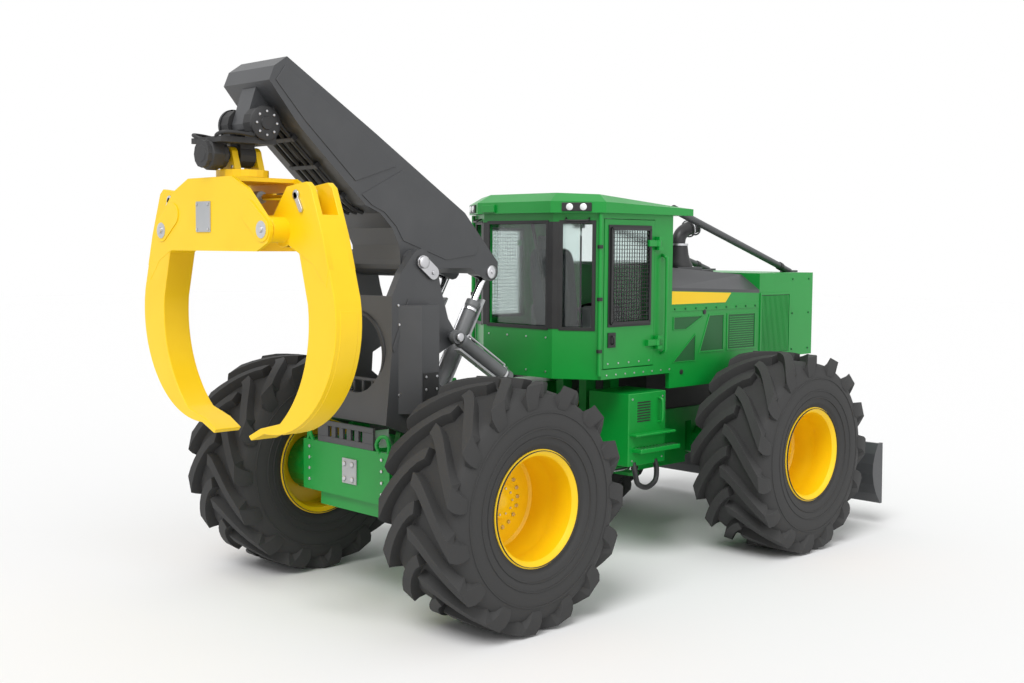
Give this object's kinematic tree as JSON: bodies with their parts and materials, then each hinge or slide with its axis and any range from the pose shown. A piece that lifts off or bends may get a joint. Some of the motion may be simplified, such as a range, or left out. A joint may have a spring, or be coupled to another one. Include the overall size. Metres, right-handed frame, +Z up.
{
  "type": "grapple skidder",
  "caption": "Articulated forestry skidder with a two-function arch and boom, a hanging log grapple, a stacking blade, a guarded cab and lugged wheels.",
  "frame": {"origin": "middle of the machine's length and width, on the ground under the wheels", "axes": "+X forward, from the grapple to the blade; +Y to the operator's left; +Z up"},
  "size_m": [7.03, 3.415, 4.2],
  "materials": {
    "green_paint": "gloss",
    "yellow_paint": "gloss",
    "dark_paint": "satin",
    "black_paint": "satin",
    "tyre_rubber": "matte",
    "cylinder_paint": "satin",
    "chrome_rod": "polished",
    "clear_glass": "gloss",
    "seat_cloth": "matte",
    "cast_metal": "rough",
    "exhaust_steel": "satin"
  },
  "bodies": {
    "front_frame": {"front_frame": "dark_paint", "front_axle": "cast_metal", "engine_block": "cast_metal", "cab_frame": "green_paint", "cab_roof": "green_paint", "windshield": "clear_glass", "rear_glazing": "clear_glass", "seat": "seat_cloth", "hood_top": "dark_paint", "hood_side_left": "green_paint", "hood_side_right": "green_paint", "exhaust_stack": "exhaust_steel", "cooling_box": "green_paint", "limb_riser_left": "dark_paint", "limb_riser_right": "dark_paint", "side_tank_left": "green_paint", "side_tank_right": "green_paint"},
    "rear_frame": {"rear_frame": "green_paint", "rear_axle": "cast_metal", "rear_bumper": "green_paint", "winch": "cast_metal"},
    "wheel_front_left": {"tyre_front_left": "tyre_rubber", "rim_front_left": "yellow_paint"},
    "wheel_front_right": {"tyre_front_right": "tyre_rubber", "rim_front_right": "yellow_paint"},
    "wheel_rear_left": {"tyre_rear_left": "tyre_rubber", "rim_rear_left": "yellow_paint"},
    "wheel_rear_right": {"tyre_rear_right": "tyre_rubber", "rim_rear_right": "yellow_paint"},
    "door_left": {"door_left": "green_paint"},
    "door_right": {"door_right": "green_paint"},
    "radiator_door": {"radiator_door": "green_paint"},
    "blade": {"blade": "dark_paint"},
    "arch": {"arch": "dark_paint"},
    "boom": {"boom": "dark_paint"},
    "crosshead": {"crosshead": "black_paint"},
    "rotator": {"rotator": "black_paint"},
    "grapple_head": {"grapple_head": "yellow_paint"},
    "tong_left": {"tong_left": "yellow_paint"},
    "tong_right": {"tong_right": "yellow_paint"},
    "tong_cylinder_barrel": {"tong_cylinder_barrel": "cylinder_paint"},
    "tong_cylinder_rod": {"tong_cylinder_rod": "chrome_rod"},
    "arch_cylinder_barrel_left": {"arch_cylinder_barrel_left": "cylinder_paint"},
    "arch_cylinder_rod_left": {"arch_cylinder_rod_left": "chrome_rod"},
    "arch_cylinder_barrel_right": {"arch_cylinder_barrel_right": "cylinder_paint"},
    "arch_cylinder_rod_right": {"arch_cylinder_rod_right": "chrome_rod"},
    "boom_cylinder_barrel_left": {"boom_cylinder_barrel_left": "cylinder_paint"},
    "boom_cylinder_rod_left": {"boom_cylinder_rod_left": "chrome_rod"},
    "boom_cylinder_barrel_right": {"boom_cylinder_barrel_right": "cylinder_paint"},
    "boom_cylinder_rod_right": {"boom_cylinder_rod_right": "chrome_rod"},
    "blade_cylinder_barrel_left": {"blade_cylinder_barrel_left": "cylinder_paint"},
    "blade_cylinder_rod_left": {"blade_cylinder_rod_left": "chrome_rod"},
    "blade_cylinder_barrel_right": {"blade_cylinder_barrel_right": "cylinder_paint"},
    "blade_cylinder_rod_right": {"blade_cylinder_rod_right": "chrome_rod"},
    "steering_cylinder_barrel_left": {"steering_cylinder_barrel_left": "cylinder_paint"},
    "steering_cylinder_rod_left": {"steering_cylinder_rod_left": "chrome_rod"},
    "steering_cylinder_barrel_right": {"steering_cylinder_barrel_right": "cylinder_paint"},
    "steering_cylinder_rod_right": {"steering_cylinder_rod_right": "chrome_rod"}
  },
  "joints": [
    {"name": "articulation", "type": "hinge", "parent": "front_frame", "child": "rear_frame", "pos_m": [0.075, 0, 0.935], "axis": [0, 0, 1], "range_deg": [-42, 42]},
    {"name": "wheel_front_left_spin", "type": "hinge", "parent": "front_frame", "child": "wheel_front_left", "pos_m": [1.905, 1.32, 0.935], "axis": [0, 1, 0], "continuous": true},
    {"name": "wheel_front_right_spin", "type": "hinge", "parent": "front_frame", "child": "wheel_front_right", "pos_m": [1.905, -1.32, 0.935], "axis": [0, 1, 0], "continuous": true},
    {"name": "wheel_rear_left_spin", "type": "hinge", "parent": "rear_frame", "child": "wheel_rear_left", "pos_m": [-1.755, 1.32, 0.935], "axis": [0, 1, 0], "continuous": true},
    {"name": "wheel_rear_right_spin", "type": "hinge", "parent": "rear_frame", "child": "wheel_rear_right", "pos_m": [-1.755, -1.32, 0.935], "axis": [0, 1, 0], "continuous": true},
    {"name": "door_left_hinge", "type": "hinge", "parent": "front_frame", "child": "door_left", "pos_m": [0.623, 0.83, 2.44], "axis": [0, 0, -1], "range_deg": [0, 80]},
    {"name": "door_right_hinge", "type": "hinge", "parent": "front_frame", "child": "door_right", "pos_m": [0.623, -0.83, 2.44], "axis": [0, 0, 1], "range_deg": [0, 80]},
    {"name": "radiator_door_hinge", "type": "hinge", "parent": "front_frame", "child": "radiator_door", "pos_m": [3.325, 0.76, 2.1], "axis": [0, 0, 1], "range_deg": [0, 90]},
    {"name": "blade_lift", "type": "hinge", "parent": "front_frame", "child": "blade", "pos_m": [2.545, 0, 0.935], "axis": [0, -1, 0], "range_deg": [-13, 30]},
    {"name": "arch_tilt", "type": "hinge", "parent": "rear_frame", "child": "arch", "pos_m": [-1.875, 0, 1.42], "axis": [0, -1, 0], "range_deg": [-2, 25]},
    {"name": "boom_lift", "type": "hinge", "parent": "arch", "child": "boom", "pos_m": [-1.818, 0, 2.719], "axis": [0, -1, 0], "range_deg": [-1, 20]},
    {"name": "blade_cylinder_left_pivot", "type": "hinge", "parent": "front_frame", "child": "blade_cylinder_barrel_left", "pos_m": [2.955, 0.3, 1.585], "axis": [0, -1, 0], "range_deg": [-6.86, 15.09]},
    {"name": "blade_cylinder_left_stroke", "type": "slide", "parent": "blade_cylinder_barrel_left", "child": "blade_cylinder_rod_left", "axis": [0.2827, 0, -0.9592], "range_m": [-0.3269, 0.1439]},
    {"name": "blade_cylinder_right_pivot", "type": "hinge", "parent": "front_frame", "child": "blade_cylinder_barrel_right", "pos_m": [2.955, -0.3, 1.585], "axis": [0, -1, 0], "range_deg": [-6.86, 15.09]},
    {"name": "blade_cylinder_right_stroke", "type": "slide", "parent": "blade_cylinder_barrel_right", "child": "blade_cylinder_rod_right", "axis": [0.2827, 0, -0.9592], "range_m": [-0.3269, 0.1439]},
    {"name": "arch_cylinder_left_pivot", "type": "hinge", "parent": "arch", "child": "arch_cylinder_barrel_left", "pos_m": [-1.515, 0.5, 2.12], "axis": [0, -1, 0], "range_deg": [-21.5, 2.25]},
    {"name": "arch_cylinder_left_stroke", "type": "slide", "parent": "arch_cylinder_barrel_left", "child": "arch_cylinder_rod_left", "axis": [0.8422, 0, -0.5392], "range_m": [-0.0306, 0.3366]},
    {"name": "arch_cylinder_right_pivot", "type": "hinge", "parent": "arch", "child": "arch_cylinder_barrel_right", "pos_m": [-1.515, -0.5, 2.12], "axis": [0, -1, 0], "range_deg": [-21.5, 2.25]},
    {"name": "arch_cylinder_right_stroke", "type": "slide", "parent": "arch_cylinder_barrel_right", "child": "arch_cylinder_rod_right", "axis": [0.8422, 0, -0.5392], "range_m": [-0.0306, 0.3366]},
    {"name": "boom_cylinder_left_pivot", "type": "hinge", "parent": "arch", "child": "boom_cylinder_barrel_left", "pos_m": [-1.535, 0.235, 1.6], "axis": [0, -1, 0], "range_deg": [-0.9, 7.17]},
    {"name": "boom_cylinder_left_stroke", "type": "slide", "parent": "boom_cylinder_barrel_left", "child": "boom_cylinder_rod_left", "axis": [0.4963, 0, 0.8681], "range_m": [-0.0173, 0.2709]},
    {"name": "boom_cylinder_right_pivot", "type": "hinge", "parent": "arch", "child": "boom_cylinder_barrel_right", "pos_m": [-1.535, -0.235, 1.6], "axis": [0, -1, 0], "range_deg": [-0.9, 7.17]},
    {"name": "boom_cylinder_right_stroke", "type": "slide", "parent": "boom_cylinder_barrel_right", "child": "boom_cylinder_rod_right", "axis": [0.4963, 0, 0.8681], "range_m": [-0.0173, 0.2709]},
    {"name": "steering_cylinder_left_pivot", "type": "hinge", "parent": "rear_frame", "child": "steering_cylinder_barrel_left", "pos_m": [-0.725, 0.5, 0.815], "axis": [0, 0, 1], "range_deg": [-18.71, 18.71]},
    {"name": "steering_cylinder_left_stroke", "type": "slide", "parent": "steering_cylinder_barrel_left", "child": "steering_cylinder_rod_left", "axis": [1, 0, 0], "range_m": [-0.3652, 0.3652]},
    {"name": "steering_cylinder_right_pivot", "type": "hinge", "parent": "rear_frame", "child": "steering_cylinder_barrel_right", "pos_m": [-0.725, -0.5, 0.815], "axis": [0, 0, 1], "range_deg": [-18.71, 18.71]},
    {"name": "steering_cylinder_right_stroke", "type": "slide", "parent": "steering_cylinder_barrel_right", "child": "steering_cylinder_rod_right", "axis": [1, 0, 0], "range_m": [-0.3652, 0.3652]},
    {"name": "crosshead_swing", "type": "hinge", "parent": "boom", "child": "crosshead", "pos_m": [-3.115, 0, 3.72], "axis": [0, 1, 0], "range_deg": [-8, 90]},
    {"name": "grapple_side_swing", "type": "hinge", "parent": "crosshead", "child": "rotator", "pos_m": [-3.175, 0, 3.49], "axis": [1, 0, 0], "range_deg": [-20, 20]},
    {"name": "grapple_turn", "type": "hinge", "parent": "rotator", "child": "grapple_head", "pos_m": [-3.175, 0, 3.33], "axis": [0, 0, 1], "range_deg": [-38, 38]},
    {"name": "tong_left_pivot", "type": "hinge", "parent": "grapple_head", "child": "tong_left", "pos_m": [-3.175, 0.673, 2.949], "axis": [1, 0, 0], "range_deg": [-8, 45]},
    {"name": "tong_right_pivot", "type": "hinge", "parent": "grapple_head", "child": "tong_right", "pos_m": [-3.175, -0.673, 2.949], "axis": [-1, 0, 0], "range_deg": [-8, 45]},
    {"name": "tong_cylinder_pivot", "type": "hinge", "parent": "tong_left", "child": "tong_cylinder_barrel", "pos_m": [-3.175, 0.841, 3.185], "axis": [-1, 0, 0], "range_deg": [-9, 46]},
    {"name": "tong_cylinder_stroke", "type": "slide", "parent": "tong_cylinder_barrel", "child": "tong_cylinder_rod", "axis": [0, -1, 0], "range_m": [-0.4273, 0.0793]}
  ],
  "couplings": [
    {"joint": "blade_cylinder_left_pivot", "follows": "blade_lift", "ratio": 0.48374},
    {"joint": "blade_cylinder_left_stroke", "follows": "blade_lift", "m_per_rad": -0.61667},
    {"joint": "blade_cylinder_right_pivot", "follows": "blade_lift", "ratio": 0.48374},
    {"joint": "blade_cylinder_right_stroke", "follows": "blade_lift", "m_per_rad": -0.61667},
    {"joint": "arch_cylinder_left_pivot", "follows": "arch_tilt", "ratio": -0.83699},
    {"joint": "arch_cylinder_left_stroke", "follows": "arch_tilt", "m_per_rad": 0.76231},
    {"joint": "arch_cylinder_right_pivot", "follows": "arch_tilt", "ratio": -0.83699},
    {"joint": "arch_cylinder_right_stroke", "follows": "arch_tilt", "m_per_rad": 0.76231},
    {"joint": "boom_cylinder_left_pivot", "follows": "boom_lift", "ratio": 0.33},
    {"joint": "boom_cylinder_left_stroke", "follows": "boom_lift", "m_per_rad": 0.76467},
    {"joint": "boom_cylinder_right_pivot", "follows": "boom_lift", "ratio": 0.33},
    {"joint": "boom_cylinder_right_stroke", "follows": "boom_lift", "m_per_rad": 0.76467},
    {"joint": "steering_cylinder_left_pivot", "follows": "articulation", "ratio": -0.43182},
    {"joint": "steering_cylinder_left_stroke", "follows": "articulation", "m_per_rad": 0.49279},
    {"joint": "steering_cylinder_right_pivot", "follows": "articulation", "ratio": -0.43182},
    {"joint": "steering_cylinder_right_stroke", "follows": "articulation", "m_per_rad": -0.49279},
    {"joint": "tong_right_pivot", "follows": "tong_left_pivot", "ratio": 1},
    {"joint": "tong_cylinder_pivot", "follows": "tong_left_pivot", "ratio": 1},
    {"joint": "tong_cylinder_stroke", "follows": "tong_left_pivot", "m_per_rad": -0.53894}
  ]
}
